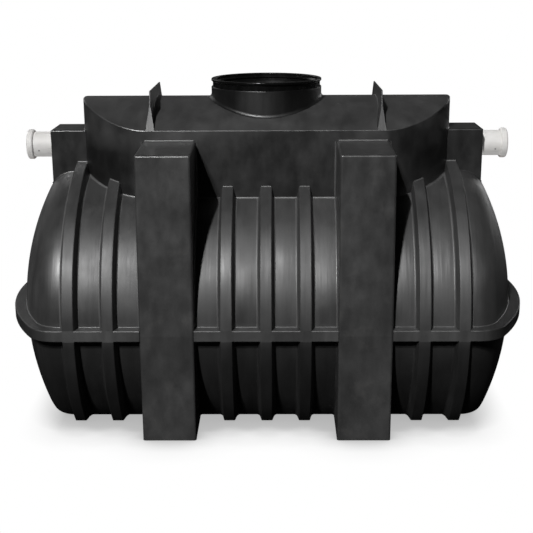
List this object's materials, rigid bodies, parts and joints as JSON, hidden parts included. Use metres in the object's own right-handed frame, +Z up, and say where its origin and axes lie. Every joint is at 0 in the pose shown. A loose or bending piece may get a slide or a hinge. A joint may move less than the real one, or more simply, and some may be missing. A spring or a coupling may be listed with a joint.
{
  "type": "lying septic tank",
  "caption": "Lying round-barrelled plastic septic tank with dished ends, box legs, hoop ribs, a raised top with an open manhole, lifting fins and a pipe socket at each end.",
  "frame": {"origin": "on the floor under the middle of the tank", "axes": "+X along the tank towards its right pipe, +Y to the back, +Z up"},
  "size_m": [2.2496, 1.254, 1.423],
  "materials": {
    "tank_plastic": "satin black moulded polyethylene",
    "pipe_plastic": "smooth pale grey-white pipe plastic",
    "seal_rubber": "black rubber"
  },
  "bodies": {
    "root": {"back_belt": "tank_plastic", "front_belt": "tank_plastic", "left_back_leg": "tank_plastic", "left_belt": "tank_plastic", "left_front_leg": "tank_plastic", "left_lifting_fin": "tank_plastic", "left_pipe": "pipe_plastic", "left_pipe_housing": "tank_plastic", "left_pipe_seal": "seal_rubber", "lower_back_wall": "tank_plastic", "lower_front_wall": "tank_plastic", "lower_left_end": "tank_plastic", "lower_right_end": "tank_plastic", "manhole_neck": "tank_plastic", "manhole_rim": "tank_plastic", "rib_1": "tank_plastic", "rib_2": "tank_plastic", "rib_3": "tank_plastic", "rib_4": "tank_plastic", "rib_5": "tank_plastic", "rib_6": "tank_plastic", "rib_7": "tank_plastic", "right_back_leg": "tank_plastic", "right_belt": "tank_plastic", "right_front_leg": "tank_plastic", "right_lifting_fin": "tank_plastic", "right_pipe": "pipe_plastic", "right_pipe_housing": "tank_plastic", "right_pipe_seal": "seal_rubber", "tank_floor": "tank_plastic", "turret_back_wall": "tank_plastic", "turret_front_wall": "tank_plastic", "turret_left_end": "tank_plastic", "turret_right_end": "tank_plastic", "turret_roof_back": "tank_plastic", "turret_roof_front": "tank_plastic", "turret_roof_left": "tank_plastic", "turret_roof_right": "tank_plastic", "upper_back_left_shoulder": "tank_plastic", "upper_back_right_shoulder": "tank_plastic", "upper_back_wall": "tank_plastic", "upper_front_left_shoulder": "tank_plastic", "upper_front_right_shoulder": "tank_plastic", "upper_front_wall": "tank_plastic", "upper_left_end": "tank_plastic", "upper_right_end": "tank_plastic"}
  },
  "joints": []
}
